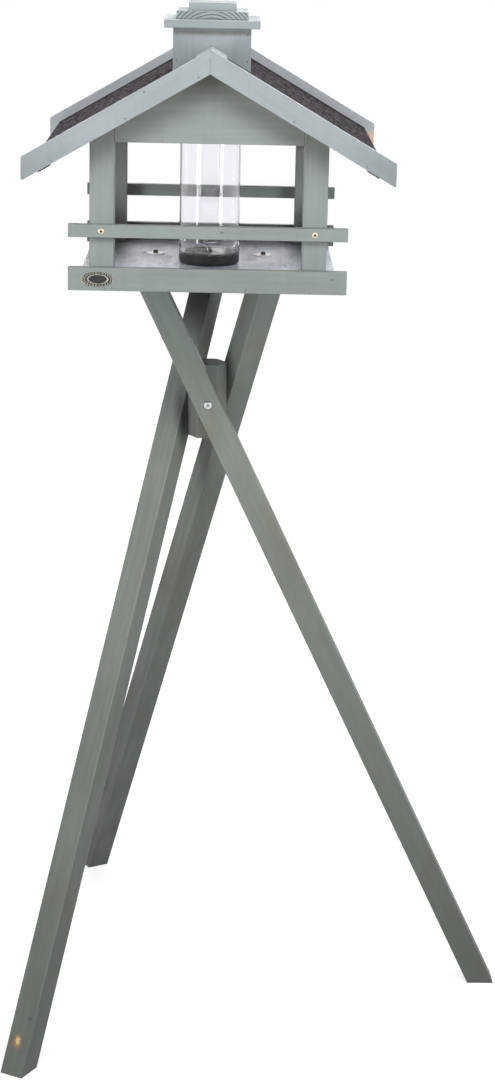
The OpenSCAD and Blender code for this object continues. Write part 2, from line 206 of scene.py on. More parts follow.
class FeederSizes(bpy.types.PropertyGroup):
    board_arris: length(
        "Board arris", "Radius on the long edges of the thin boards", 0.0009, 0.0002, 0.003
    )
    post_arris: length(
        "Post arris", "Radius on the long edges of the posts", 0.0013, 0.0002, 0.004
    )
    leg_arris: length("Leg arris", "Radius on the long edges of the legs", 0.0018, 0.0002, 0.005)
    foot_arris: length("Foot arris", "Radius on the cut ends of the legs", 0.0008, 0.0002, 0.003)
    hub_arris: length(
        "Hub arris", "Radius on the edges of the six-sided hub", 0.0016, 0.0002, 0.005
    )
    barge_corner: length(
        "Barge corner", "Radius on the lower corners of a barge board", 0.003, 0.0005, 0.008
    )
    bead: length("Badge bead", "Radius of a bead on the badge's rim", 0.0007, 0.0003, 0.0012)


class FeederColours(bpy.types.PropertyGroup):
    tray_paint: colour(
        "Tray paint", "Paint on fascias, rails, posts and gables", rgb(155, 163, 161)
    )
    roof_paint: colour("Roof paint", "Paint on barge boards, chimney and cap", rgb(167, 175, 178))
    bleached_paint: colour(
        "Bleached paint", "Paint on the rear barge boards, faded by the sun", rgb(191, 196, 202)
    )
    stand_paint: colour("Stand paint", "Paint on the legs and the hub", rgb(139, 147, 139))
    worn_paint: colour("Worn paint", "Thin paint on rubbed edges", rgb(135, 125, 112))
    knot: colour("Knot", "Bare resinous knot in a leg", rgb(166, 122, 66))
    batten: colour("Batten", "Dark preserved wood of the eave battens", rgb(86, 75, 64))
    floor_stain: colour("Floor stain", "Stain on the floor sheet", rgb(227, 237, 255))
    felt: colour("Felt", "Mineral granules on the roofing felt", rgb(60, 58, 61))
    bare_wood: colour("Bare wood", "Unpainted board", rgb(177, 145, 104))
    tube: colour("Tube", "Tint of the clear seed tube", (0.93, 0.935, 0.96))
    plug: colour("Plug", "Plastic of the base plug", rgb(40, 40, 38))
    zinc: colour("Zinc", "Plated washers and bolts", rgb(236, 237, 238))
    dark_steel: colour("Dark steel", "Tray bolts", rgb(84, 84, 82))
    nail: colour("Nail", "Painted nail heads", rgb(125, 128, 128))
    brass: colour("Brass", "Screws through the rails", rgb(238, 224, 190))
    badge: colour("Badge", "Enamel of the blank badge", rgb(30, 30, 32))
    pewter: colour("Pewter", "Raised rim of the badge", rgb(170, 170, 162))


class FeederStage(bpy.types.PropertyGroup):
    strip_light: amount("Strip light", "Power of each tall front lamp in watts", 20.0, 500.0)
    front_light: amount("Front light", "Power of the high front lamp in watts", 35.0, 500.0)
    top_light: amount("Top light", "Power of the lamp overhead in watts", 27.0, 500.0)
    back_light: amount("Back light", "Power of the wide lamp behind in watts", 21.0, 500.0)
    sky_light: amount("Sky light", "Strength of the light from all round", 0.03, 4.0)
    floor_tone: amount("Floor tone", "Reflectance of the pale floor", 0.52)


def join_flat(bm, flat):
    bmesh.ops.dissolve_limit(
        bm,
        angle_limit=math.radians(flat),
        verts=bm.verts,
        edges=bm.edges,
        use_dissolve_boundaries=False,
    )


def cad_mesh(node, flat=0.5):
    """A merged copy of a CAD node's mesh, its flat faces joined up to that angle."""
    bm = bmesh.new()
    bm.from_mesh(frame["nodes"][node].data)
    bmesh.ops.remove_doubles(bm, verts=bm.verts, dist=CAD_MERGE)
    if flat:
        join_flat(bm, flat)
    return bm


def block(node):
    """A CAD node's outer shape without the holes for its screws."""
    source = cad_mesh(node, 0)
    bm = bmesh.new()
    for vert in source.verts:
        bm.verts.new(vert.co)
    source.free()
    hull = bmesh.ops.convex_hull(bm, input=bm.verts)
    spare = {
        part
        for part in hull["geom_interior"] + hull["geom_unused"]
        if isinstance(part, bmesh.types.BMVert)
    }
    if spare:
        bmesh.ops.delete(bm, geom=list(spare), context="VERTS")
    join_flat(bm, 1.0)
    bmesh.ops.recalc_face_normals(bm, faces=bm.faces)
    return bm


def long_edge(bm):
    """The direction of a piece's longest edge, which is the way its grain runs."""
    edge = max(bm.edges, key=lambda e: e.calc_length())
    run = (edge.verts[1].co - edge.verts[0].co).normalized()
    return run if run.z + run.x + run.y > 0 else -run


def runs_along(edge, way):
    run = (edge.verts[1].co - edge.verts[0].co).normalized()
    return abs(run.dot(way)) > 0.95


def round_off(bm, edges, radius, segments=3, clamp=True):
    bmesh.ops.bevel(
        bm,
        geom=edges,
        offset=radius,
        offset_type="OFFSET",
        segments=segments,
        profile=0.5,
        affect="EDGES",
        material=-1,
        clamp_overlap=clamp,
    )


def ease(bm, radius, shortest=5 * MM, only=None):
    """Rounds the outward edges of a piece, apart from the rims of its holes."""
    edges = [
        e
        for e in bm.edges
        if len(e.link_faces) == 2
        and e.calc_length() > shortest
        and e.calc_face_angle_signed(0) > OUTWARD
        and (only is None or only(e))
    ]
    round_off(bm, edges, radius)


def lay_grain(bm, along, face, tone, end=None):
    """Stores each point's place on its board, the board's half size and its tone.

    Where the ends are cut at a slant, end is the direction that their faces look in.
    """
    along = Vector(along).normalized()
    face = (Vector(face) - along * along.dot(face)).normalized()
    across = face.cross(along)
    end = Vector(end or along)
    lie = bm.verts.layers.float_vector.new("lie")
    reach = bm.verts.layers.float_vector.new("reach")
    shade = bm.verts.layers.float.new("tone")
    places = {
        v: Vector((v.co.dot(end) / along.dot(end), v.co.dot(across), v.co.dot(face)))
        for v in bm.verts
    }
    low = Vector(map(min, *places.values()))
    high = Vector(map(max, *places.values()))
    for vert, place in places.items():
        vert[lie] = place - (low + high) / 2
        vert[reach] = (high - low) / 2
        vert[shade] = tone


def finish_piece(bm, node, form, materials, crease=35.0, weighted=False):
    """Makes the object, hides its CAD node and puts it on the node's body."""
    name = node + "_" + form
    mesh = bpy.data.meshes.new(name)
    bm.to_mesh(mesh)
    bm.free()
    for material in materials if isinstance(materials, tuple) else (materials,):
        mesh.materials.append(material)
    mesh.shade_smooth()
    mesh.set_sharp_from_angle(angle=math.radians(crease))
    piece = bpy.data.objects.new(name, mesh)
    bpy.context.scene.collection.objects.link(piece)
    if weighted:
        normals = piece.modifiers.new("weighted_normals", "WEIGHTED_NORMAL")
        normals.keep_sharp = True
    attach(piece, BODY_OF[node])
    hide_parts(node)


def finish_timber(bm, node, material):
    finish_piece(bm, node, "timber", material, crease=40.0, weighted=True)


def timber(node, material, radius, along, face, tone, shape=block):
    """One board or bar, cut as its CAD node is, with eased arrises and laid grain."""
    bm = shape(node)
    ease(bm, radius)
    lay_grain(bm, along, face, tone)
    finish_timber(bm, node, material)


def turned(profile, steps=40):
    """A body of revolution about Z from a profile of radius and height."""
    bm = bmesh.new()
    verts = [bm.verts.new((r, 0, z)) for r, z in profile]
    edges = [bm.edges.new(pair) for pair in zip(verts, verts[1:])]
    bmesh.ops.spin(
        bm,
        geom=verts + edges,
        axis=Z,
        cent=(0, 0, 0),
        angle=math.tau,
        steps=steps,
        use_merge=True,
    )
    bmesh.ops.remove_doubles(bm, verts=bm.verts, dist=SPIN_MERGE)
    bmesh.ops.recalc_face_normals(bm, faces=bm.faces)
    return bm


def hexagon(size):
    """Outline of a six-sided socket: the radius at an angle."""
    sixth = math.radians(60)
    return lambda a: size * math.cos(sixth / 2) / math.cos(a % sixth - sixth / 2)


def cross(arm, half):
    """Outline of a cross recess: the radius at an angle."""

    def radius(a):
        b = (a + math.pi / 4) % (math.pi / 2) - math.pi / 4
        return arm / math.cos(b) if abs(math.tan(b)) * arm <= half else half / abs(math.sin(b))

    return radius


def sink(bm, outline, depth, taper=0.85):
    """Closes the ring on top of a head with a recess of that outline, in the second material."""
    rim = [e for e in bm.edges if e.is_boundary]
    for drop, size in ((0, 1), (depth, taper)):
        made = bmesh.ops.extrude_edge_only(bm, edges=rim)["geom"]
        rim = [g for g in made if isinstance(g, bmesh.types.BMEdge) and g.is_boundary]
        for v in {v for e in rim for v in e.verts}:
            angle = math.atan2(v.co.y, v.co.x)
            r = outline(angle) * size
            v.co = Vector((r * math.cos(angle), r * math.sin(angle), v.co.z - drop))
    walls = [g for g in made if isinstance(g, bmesh.types.BMFace)]
    floor = bmesh.ops.contextual_create(bm, geom=rim)["faces"]
    for face in walls + floor:
        face.material_index = 1
    bmesh.ops.recalc_face_normals(bm, faces=bm.faces)


def middle_of(points):
    low = Vector(map(min, *points))
    high = Vector(map(max, *points))
    return (low + high) / 2


def islands(node):
    """The separate solids of a CAD node, each as a list of points."""
    bm = cad_mesh(node, 0)
    left = set(bm.verts)
    found = []
    while left:
        reach, seen = [left.pop()], []
        while reach:
            vert = reach.pop()
            seen.append(vert.co.copy())
            for edge in vert.link_edges:
                other = edge.other_vert(vert)
                if other in left:
                    left.remove(other)
                    reach.append(other)
        found.append(seen)
    bm.free()
    return sorted(found, key=lambda points: tuple(round(c, 4) for c in middle_of(points)))


class Shank:
    """What a CAD fastener measures along the axis that points out of its head."""

    def __init__(self, points, axis):
        self.axis = axis.normalized()
        centre = middle_of(points)
        along = [(p - centre).dot(self.axis) for p in points]
        out = [((p - centre) - self.axis * a).length for p, a in zip(points, along)]
        self.tip, self.top = min(along), max(along)
        self.shank = max(r for r, a in zip(out, along) if a < self.tip + 0.1 * MM)
        self.head = max(out)
        wide = [a for r, a in zip(out, along) if r > (self.shank + self.head) / 2]
        self.under = min(wide) if self.head > self.shank * 1.05 else self.top
        self.centre = centre

    def place(self, bm):
        """Moves a body of revolution from the origin to the fastener's place."""
        turn = Z.rotation_difference(self.axis).to_matrix().to_4x4()
        bm.transform(Matrix.Translation(self.centre + self.axis * self.under) @ turn)
        return bm


def gather(parts):
    """One mesh from several."""
    whole = bmesh.new()
    for part in parts:
        mesh = bpy.data.meshes.new("part")
        part.to_mesh(mesh)
        part.free()
        whole.from_mesh(mesh)
        bpy.data.meshes.remove(mesh)
    return whole


# Heads as shares of their radius and height, from the seat to the ring round the recess
PAN = [(1, 0), (1, 0.3), (0.985, 0.5), (0.93, 0.7), (0.83, 0.86), (0.74, 0.96), (0.66, 1)]
LOW = [(1, 0), (1, 0.12), (0.97, 0.34), (0.88, 0.54), (0.74, 0.68), (0.6, 0.74)]
DOME = [(1, 0), (1, 0.2), (0.97, 0.45), (0.88, 0.68), (0.78, 0.87), (0.7, 0.97), (0.64, 1)]

# The badge as shares of its half size and thickness, from the middle of its back round to
# the middle of its front, and its beads: how many, their size and their place on the rim
BADGE_FORM = [(0, 0), (1, 0), (1, 0.75), (0.99, 0.9), (0.97, 0.9), (0.95, 0.6), (0.66, 0.6)]
BADGE_FORM += [(0.65, 0.9), (0.61, 0.95), (0.57, 0.9), (0.55, 0.6), (0.3, 0.7), (0, 0.75)]
BADGE_BEADS = ((44, 1.0, 0.89), (26, 1.35, 0.78))


def fastener(points, axis, head_form, outline, depth):
    """A screw or bolt with a shaped head and a recess in it."""
    s = Shank(points, axis)
    height = s.top - s.under
    profile = [(0, s.tip - s.under), (s.shank * 0.7, s.tip - s.under)]
    profile += [(s.shank, s.tip - s.under + s.shank * 0.5), (s.shank, 0)]
    profile += [(s.head * r, height * z) for r, z in head_form]
    bm = turned(profile)
    sink(bm, outline, depth)
    return s.place(bm)


def nail(points, axis):
    """A driven nail whose low round head stands just out of the paint."""
    s = Shank(points, axis)
    neck = s.shank * 0.9
    profile = [(0, s.tip - s.top), (neck, s.tip - s.top), (neck, -0.4 * MM), (s.shank, -0.3 * MM)]
    profile += [(s.shank, 0.05 * MM), (s.shank * 0.7, 0.2 * MM), (0, 0.25 * MM)]
    return s.place(turned(profile, 20))


def washer(points):
    """A flat ring with softened edges."""
    centre = middle_of(points)
    out = [math.hypot(p.x - centre.x, p.y - centre.y) for p in points]
    inner, outer = min(out), max(out)
    half = max(p.z for p in points) - centre.z
    soft = 0.35 * MM
    profile = [(inner, -half), (outer - soft, -half), (outer, -half + soft), (outer, half - soft)]
    profile += [(outer - soft, half), (inner + soft, half), (inner, half - soft), (inner, -half)]
    ring = turned(profile, 64)
    ring.transform(Matrix.Translation(centre))
    return ring


class Wiring:
    """Adds shader nodes to one tree."""

    def __init__(self, tree):
        self.tree = tree

    def put(self, kind, *sources, **settings):
        node = self.tree.nodes.new(kind)
        for key, value in settings.items():
            setattr(node, key, value)
        for socket, source in zip(node.inputs, sources):
            self.join(source, socket)
        return node

    def join(self, source, socket):
        if isinstance(source, bpy.types.NodeSocket):
            self.tree.links.new(source, socket)
        elif source is not None:
            socket.default_value = source

    def maths(self, operation, a, b=None, clamp=False):
        node = self.put("ShaderNodeMath", a, b, operation=operation, use_clamp=clamp)
        return node.outputs[0]

    def times(self, a, b):
        return self.maths("MULTIPLY", a, b)

    def plus(self, a, b, clamp=False):
        return self.maths("ADD", a, b, clamp=clamp)

    def vector(self, operation, a, b=None):
        return self.put("ShaderNodeVectorMath", a, b, operation=operation).outputs[0]

    def spread(self, vector, scale):
        """A vector stretched by three factors."""
        return self.vector("MULTIPLY", vector, scale)

    def parts(self, vector):
        return self.put("ShaderNodeSeparateXYZ", vector).outputs

    def noise(self, vector, detail, rough, twist=0.0):
        """Noise at the scale of its vector, in octaves of that roughness."""
        node = self.put("ShaderNodeTexNoise", noise_dimensions="3D")
        self.join(vector, node.inputs["Vector"])
        node.inputs["Scale"].default_value = 1.0
        node.inputs["Detail"].default_value = detail
        node.inputs["Roughness"].default_value = rough
        node.inputs["Distortion"].default_value = twist
        return node.outputs["Fac"]

    def fit(self, value, low, high, to_low=0.0, to_high=1.0, smooth=True):
        """Maps a range of values to another, held at its ends."""
        node = self.put("ShaderNodeMapRange", value, low, high, to_low, to_high)
        node.interpolation_type = "SMOOTHSTEP" if smooth else "LINEAR"
        return node.outputs[0]

    def blend(self, share, a, b, mode="MIX"):
        node = self.put("ShaderNodeMix", data_type="RGBA", blend_type=mode)
        for index, source in ((0, share), (6, a), (7, b)):
            self.join(source, node.inputs[index])
        return node.outputs[2]

    def group(self, tree, **sources):
        node = self.put("ShaderNodeGroup", node_tree=tree)
        for name, source in sources.items():
            self.join(source, node.inputs[name])
        return node.outputs

    def own(self, name, kind="Vector"):
        """A value stored on the piece's own points."""
        return self.put("ShaderNodeAttribute", attribute_name=name).outputs[kind]

    def place(self):
        return self.put("ShaderNodeTexCoord").outputs["Object"]


def effect(title, **inputs):
    """Makes a node group, built once, whose outputs are the values that the function names."""

    def wrap(wire):
        @cache
        def tree():
            group = bpy.data.node_groups.new(title, "ShaderNodeTree")
            for name, kind in inputs.items():
                group.interface.new_socket(
                    name=name, in_out="INPUT", socket_type="NodeSocket" + kind
                )
            w = Wiring(group)
            found = wire(w, w.put("NodeGroupInput").outputs)
            for name in found:
                group.interface.new_socket(
                    name=name, in_out="OUTPUT", socket_type="NodeSocketFloat"
                )
            target = w.put("NodeGroupOutput")
            for name, value in found.items():
                w.join(value, target.inputs[name])
            return group

        return tree

    return wrap


@effect("Arris Wear", Lie="Vector", Reach="Vector", Width="Float")
def arris_effect(w, source):
    """How near a point is to one of its board's arrises, and which points are end grain."""
    gap = w.vector("SUBTRACT", source["Reach"], w.vector("ABSOLUTE", source["Lie"]))
    parts = w.parts(gap)
    a, b, c = parts[0], parts[1], parts[2]
    upper = w.maths("MINIMUM", w.maths("MAXIMUM", a, b), c)
    second = w.maths("MAXIMUM", w.maths("MINIMUM", a, b), upper)
    near = w.fit(second, 0.0, source["Width"], 1.0, 0.0)
    ragged = w.noise(w.spread(source["Lie"], (30, 160, 160)), 4.0, 0.6)
    worn = w.times(near, w.fit(ragged, 0.42, 0.66))
    return {"Near": near, "Worn": worn, "End Grain": w.fit(a, 0.0003, 0.0009, 1.0, 0.0)}


@effect("Timber Figure", Lie="Vector", Tone="Float", Rings="Float", Pith="Float")
def timber_effect(w, source):
    """Growth rings round a pith beside the board, long fibres and fine pores."""
    shift = w.times(source["Tone"], GRAIN_SHIFT)
    offset = w.put("ShaderNodeCombineXYZ", shift, shift, shift).outputs[0]
    moved = w.vector("ADD", source["Lie"], offset)
    wander = w.noise(w.spread(moved, (3.2, 9, 9)), 2.0, 0.5)
    wobble = w.noise(w.spread(moved, (14, 60, 60)), 3.0, 0.55)
    parts = w.parts(source["Lie"])
    across = w.plus(parts[1], w.times(source["Tone"], PITH_SHIFT))
    deep = w.plus(parts[2], source["Pith"])
    radius = w.maths("SQRT", w.plus(w.times(across, across), w.times(deep, deep)))
    radius = w.plus(radius, w.times(wander, 0.016))
    radius = w.plus(radius, w.times(wobble, 0.0016))
    ring = w.maths("FRACT", w.times(radius, source["Rings"]))
    late = w.maths("SUBTRACT", w.fit(ring, 0.35, 0.86), w.fit(ring, 0.9, 1.0))
    fibre = w.noise(w.spread(moved, (9, 150, 150)), 5.0, 0.62)
    pores = w.noise(w.spread(moved, (60, 900, 900)), 2.0, 0.5)
    height = w.plus(w.times(fibre, 0.6), w.times(pores, 0.4))
    height = w.plus(height, w.times(late, 0.25))
    return {"Figure": late, "Fibre": w.fit(fibre, 0.3, 0.7), "Height": height}


@effect("Weathering", Place="Vector")
def weather_effect(w, source):
    """Soft clouds in the finish, small dark specks, grime streaks and darker colour low down."""
    place = source["Place"]
    cloud = w.noise(w.spread(place, (11, 11, 8)), 4.0, 0.6)
    speck = w.noise(w.spread(place, (210, 210, 210)), 2.0, 0.5)
    streak = w.noise(w.spread(place, (120, 120, 7)), 3.0, 0.5)
    patch = w.noise(w.spread(place, (16, 16, 5)), 3.0, 0.55, 0.4)
    height = w.parts(place)[2]
    return {
        "Cloud": w.fit(cloud, 0.32, 0.68),
        "Speck": w.fit(speck, 0.72, 0.8),
        "Streak": w.fit(streak, 0.35, 0.7),
        "Rubbed": w.fit(patch, 0.5, 0.68),
        "Splash": w.fit(height, 0.0, 0.75, 1.0, 0.0, smooth=False),
    }


@effect(
    "Local Mark",
    Place="Vector",
    Middle="Vector",
    Reach="Vector",
    Ragged="Float",
    Soft="Float",
)
def mark_effect(w, source):
    """One ragged mark round a place: 1 inside, 0 outside."""
    away = w.vector("SUBTRACT", source["Place"], source["Middle"])
    away = w.vector("DIVIDE", away, source["Reach"])
    far = w.put("ShaderNodeVectorMath", away, operation="LENGTH").outputs["Value"]
    ragged = w.noise(w.spread(source["Place"], (420, 420, 300)), 3.0, 0.6)
    edge = w.plus(far, w.times(ragged, source["Ragged"]))
    inner = w.maths("SUBTRACT", 1.0, source["Soft"])
    return {"Mark": w.fit(edge, inner, 1.15, 1.0, 0.0)}


@effect("Metal Wear", Place="Vector")
def metal_effect(w, source):
    """Fine scratches and tarnish clouds on metal."""
    place = source["Place"]
    scratch = w.noise(w.spread(place, (900, 160, 900)), 3.0, 0.6)
    tarnish = w.noise(w.spread(place, (170, 170, 170)), 4.0, 0.6)
    return {"Scratch": w.fit(scratch, 0.35, 0.65), "Tarnish": w.fit(tarnish, 0.35, 0.7)}


def colours():
    """The colours that the user has set."""
    return bpy.context.scene.feeder_colours


def new_material(name):
    """A material with its wiring and its Principled shader."""
    material = bpy.data.materials.new(name)
    material.use_nodes = True
    return material, Wiring(material.node_tree), material.node_tree.nodes["Principled BSDF"]


def set_bump(w, shader, height, strength, distance):
    bump = w.put("ShaderNodeBump")
    bump.inputs["Strength"].default_value = strength
    bump.inputs["Distance"].default_value = distance
    w.join(height, bump.inputs["Height"])
    w.join(bump.outputs[0], shader.inputs["Normal"])


def add_mark(w, body, place, mark, tint, strength, ragged=0.5, soft=0.25):
    """Lays one local mark over a colour."""
    middle, reach = mark
    found = w.group(
        mark_effect(), Place=place, Middle=middle, Reach=reach, Ragged=ragged, Soft=soft
    )
    return w.blend(w.times(found["Mark"], strength), body, tint)


def painted(
    name,
    paint,
    depth,
    wear,
    figure,
    end_grain,
    rings=210.0,
    pith=0.021,
    end_darkening=0.0,
    near_ground=0.0,
    rubs=0.0,
    arris_highlight=0.12,
    marks=(),
):
    """Thin satin paint over timber whose grain shows through.

    Each mark is its middle and reach, its tint and its strength, and may end with how ragged
    and how soft its edge is.
    """
    material, w, shader = new_material(name)
    lie, reach, tone = w.own("lie"), w.own("reach"), w.own("tone", "Fac")
    place = w.place()
    grain = w.group(timber_effect(), Lie=lie, Tone=tone, Rings=rings, Pith=pith)
    edge = w.group(arris_effect(), Lie=lie, Reach=reach, Width=WEAR_WIDTH)
    weather = w.group(weather_effect(), Place=place)
    mixed = w.times(grain["Figure"], figure)
    mixed = w.plus(mixed, w.times(grain["Fibre"], 0.4))
    mixed = w.plus(mixed, w.times(weather["Cloud"], 0.3), clamp=True)
    body = w.blend(mixed, scaled(paint, 1.07), scaled(paint, depth))
    body = w.blend(w.times(weather["Streak"], 0.12), body, scaled(paint, depth * 0.8))
    # Paint lighter near the arrises: a painted highlight
    body = w.blend(w.times(edge["Near"], arris_highlight), body, scaled(paint, 1.3))
    ends = w.times(w.times(grain["Figure"], edge["End Grain"]), end_grain)
    body = w.blend(ends, body, scaled(paint, 0.36))
    # End faces painted darker
    body = w.blend(w.times(edge["End Grain"], end_darkening), body, scaled(paint, 0.35))
    body = w.blend(w.times(edge["Worn"], wear), body, opaque(colours().worn_paint))
    body = w.blend(w.times(weather["Rubbed"], rubs), body, opaque(colours().worn_paint))
    # Darker towards the ground
    body = w.blend(w.times(weather["Splash"], near_ground), body, scaled(paint, 0.3))
    body = w.blend(w.times(weather["Speck"], 0.35), body, scaled(paint, 0.45))
    body = w.blend(1.0, body, w.fit(tone, -1.0, 1.0, 0.8, 1.2, smooth=False), "MULTIPLY")
    for mark in marks:
        body = add_mark(w, body, place, *mark)
    w.join(body, shader.inputs["Base Color"])
    rough = w.plus(w.times(grain["Fibre"], 0.16), w.fit(weather["Cloud"], 0, 1, 0.44, 0.56))
    rough = w.maths("SUBTRACT", rough, w.times(edge["Near"], arris_highlight * 0.8))
    rough = w.plus(rough, w.times(edge["End Grain"], 0.3), clamp=True)
    w.join(rough, shader.inputs["Roughness"])
    shader.inputs["Specular IOR Level"].default_value = 0.4
    set_bump(w, shader, grain["Height"], 0.4, 0.4 * MM)
    return material


@cache
def tray_paint():
    """The tray, the posts and the gables: dented in front, with painted shade in the rear
    corners.
    """
    paint = colours().tray_paint
    marks = [(dent, scaled(paint, 0.3), 0.8) for dent in TRAY_DENTS]
    # Painted shade at the rear posts' feet and inside the rear fascia
    marks += [(shade_spot, scaled(paint, 0.12), 0.95, 0.3, 0.7) for shade_spot in TRAY_PAINTED_SHADE]
    return painted(
        "tray_paint", paint, depth=0.84, wear=0.35, figure=0.16, end_grain=0.5, marks=marks
    )


@cache
def roof_paint():
    """The front barge boards, the ridge, the chimney and its cap; painted shade under the cap."""
    paint = colours().roof_paint
    # Painted shade under the chimney's cap
    marks = [(CHIMNEY_CAP_SHADE, CAP_SHADE_TINT, 0.7, 0.5, 0.7)]
    marks.append((BARGE_HOLE, scaled(paint, 0.15), 0.9))
    # Painted shade at the front barge boards' low ends
    marks += [(dull, scaled(paint, 0.5), 0.5, 0.3, 0.9) for dull in BARGE_PAINTED_SHADE]
    return painted(
        "roof_paint",
        paint,
        depth=0.88,
        wear=0.2,
        figure=0.12,
        end_grain=1.0,
        rings=235.0,
        pith=0.036,
        marks=marks,
    )


@cache
def bleached_paint():
    """The rear barge boards: bleached, with raw wood at one end."""
    paint = colours().bleached_paint
    marks = [(BARE_BARGE_END, RAW_BOARD_END, 0.9)]
    return painted(
        "bleached_paint", paint, depth=0.86, wear=0.3, figure=0.15, end_grain=0.9, marks=marks
    )


@cache
def stand_paint():
    """The legs, hub and bearers: darker towards the ground, with a bare knot in one leg."""
    paint = colours().stand_paint
    marks = [(KNOT, opaque(colours().knot), 0.95, 0.7, 0.5)]
    marks.append((KNOT_HEART, HEARTWOOD, 0.9, 0.9, 0.4))
    # Painted shade under the tray and where the legs meet the hub
    marks += [(shade_spot, scaled(paint, 0.1), 0.9, 0.3, 0.8) for shade_spot in LEG_PAINTED_SHADE]
    marks += [(nick, scaled(paint, 0.3), 0.7) for nick in LEG_NICKS]
    return painted(
        "stand_paint",
        paint,
        depth=0.84,
        wear=0.55,
        figure=0.14,
        end_grain=0.5,
        rings=170.0,
        pith=0.024,
        end_darkening=0.9,
        near_ground=0.75,
        rubs=0.4,
        arris_highlight=0.42,
        marks=marks,
    )


def plain_timber(name, wood, dark, rings):
    """Unpainted board with plain growth rings."""
    material, w, shader = new_material(name)
    lie, tone = w.own("lie"), w.own("tone", "Fac")
    grain = w.group(timber_effect(), Lie=lie, Tone=tone, Rings=rings, Pith=0.02)
    weather = w.group(weather_effect(), Place=w.place())
    body = w.blend(w.times(grain["Figure"], 0.6), opaque(wood), scaled(wood, dark))
    body = w.blend(w.times(grain["Fibre"], 0.35), body, scaled(wood, dark))
    body = w.blend(w.times(weather["Cloud"], 0.3), body, scaled(wood, dark))
    w.join(body, shader.inputs["Base Color"])
    w.join(w.fit(grain["Fibre"], 0, 1, 0.6, 0.8), shader.inputs["Roughness"])
    set_bump(w, shader, grain["Height"], 0.4, 0.3 * MM)
    return material


@cache
def bare_wood():
    return plain_timber("bare_wood", colours().bare_wood, 0.62, 240.0)


@cache
def batten_wood():
    return plain_timber("batten_wood", colours().batten, 0.6, 260.0)


@cache
def floor_stain():
    """Lavender-grey stain with water marks, scuffs and dirt, and painted shade near the rear."""
    stain = colours().floor_stain
    material, w, shader = new_material("floor_stain")
    place = w.place()
    lie, tone = w.own("lie"), w.own("tone", "Fac")
    grain = w.group(timber_effect(), Lie=lie, Tone=tone, Rings=60.0, Pith=0.09)
    cloud = w.fit(w.noise(w.spread(place, (24, 9, 26)), 5.0, 0.65, 0.6), 0.42, 0.66)
    small = w.fit(w.noise(w.spread(place, (110, 30, 95)), 4.0, 0.65, 0.3), 0.48, 0.7)
    marks = w.plus(w.times(cloud, 0.4), w.times(small, 0.45))
    marks = w.plus(marks, w.times(grain["Fibre"], 0.25), clamp=True)
    body = w.blend(marks, opaque(stain), scaled(stain, 0.66))
    for scrape in FLOOR_SCRAPES:
        body = add_mark(w, body, place, scrape, scaled(stain, 0.2), 0.5, 1.0)
    # Painted shade along the floor's rear edge and beside the rear posts
    for shade_spot in FLOOR_PAINTED_SHADE:
        body = add_mark(w, body, place, shade_spot, scaled(stain, 0.12), 0.8, 0.4, 0.85)
    w.join(body, shader.inputs["Base Color"])
    w.join(w.fit(marks, 0, 1, 0.42, 0.66), shader.inputs["Roughness"])
    set_bump(w, shader, grain["Height"], 0.35, 0.3 * MM)
    return material


@cache
def felt_granules():
    """Roofing felt: charcoal bitumen with grey, brown and plum mineral granules."""
    felt = colours().felt
    material, w, shader = new_material("roof_felt")
    place = w.place()
    cells = w.put("ShaderNodeTexVoronoi", place, feature="F1")
    cells.inputs["Scale"].default_value = GRANULES
    clumps = w.put("ShaderNodeTexVoronoi", w.spread(place, (1.0, 0.45, 1.0)), feature="F1")
    clumps.inputs["Scale"].default_value = CLUMPS
    fine = w.put("ShaderNodeSeparateColor", cells.outputs["Color"]).outputs
    wide = w.put("ShaderNodeSeparateColor", clumps.outputs["Color"]).outputs
    shade = w.plus(w.times(fine[0], 0.3), w.times(wide[0], 0.7))
    body = w.blend(w.fit(shade, 0.38, 0.78), scaled(felt, 0.1), scaled(felt, 3.3))
    body = w.blend(w.times(w.fit(wide[1], 0.7, 0.9), 0.35), body, BROWN_GRANULE)
    body = w.blend(w.times(w.fit(wide[2], 0.8, 0.95), 0.3), body, PLUM_GRANULE)
    # Painted shade along the felt's front and rear edges, where it meets the barge boards
    gap = w.vector("SUBTRACT", w.own("reach"), w.vector("ABSOLUTE", w.own("lie")))
    ends = w.fit(w.parts(gap)[0], 0.012, 0.05, 1.0, 0.0)
    body = w.blend(w.times(ends, 0.85), body, scaled(felt, 0.2))
    shade = w.fit(w.own("tone", "Fac"), -1.0, 1.0, 0.7, 1.3, smooth=False)
    body = w.blend(1.0, body, shade, "MULTIPLY")
    w.join(body, shader.inputs["Base Color"])
    w.join(w.fit(wide[0], 0.0, 1.0, 0.9, 1.0), shader.inputs["Roughness"])
    shader.inputs["Specular IOR Level"].default_value = 0.05
    height = w.maths("SUBTRACT", 1.0, w.times(cells.outputs["Distance"], 1.4))
    set_bump(w, shader, height, 0.8, 0.6 * MM)
    return material


@cache
def clear_plastic():
    """The seed tube, drawn with faint lines along its length."""
    material, w, shader = new_material("clear_tube")
    place = w.place()
    lines = w.noise(w.spread(place, (260, 260, 1.5)), 3.0, 0.6)
    smear = w.noise(w.spread(place, (20, 20, 9)), 3.0, 0.6)
    rough = w.times(w.fit(smear, 0.35, 0.7), 0.035)
    w.join(w.plus(rough, 0.005), shader.inputs["Roughness"])
    shader.inputs["Base Color"].default_value = opaque(colours().tube)
    shader.inputs["IOR"].default_value = TUBE_IOR
    shader.inputs["Coat Weight"].default_value = 1.0
    shader.inputs["Coat Roughness"].default_value = 0.03
    shader.inputs["Transmission Weight"].default_value = 1.0
    set_bump(w, shader, lines, 0.08, 0.3 * MM)
    return material


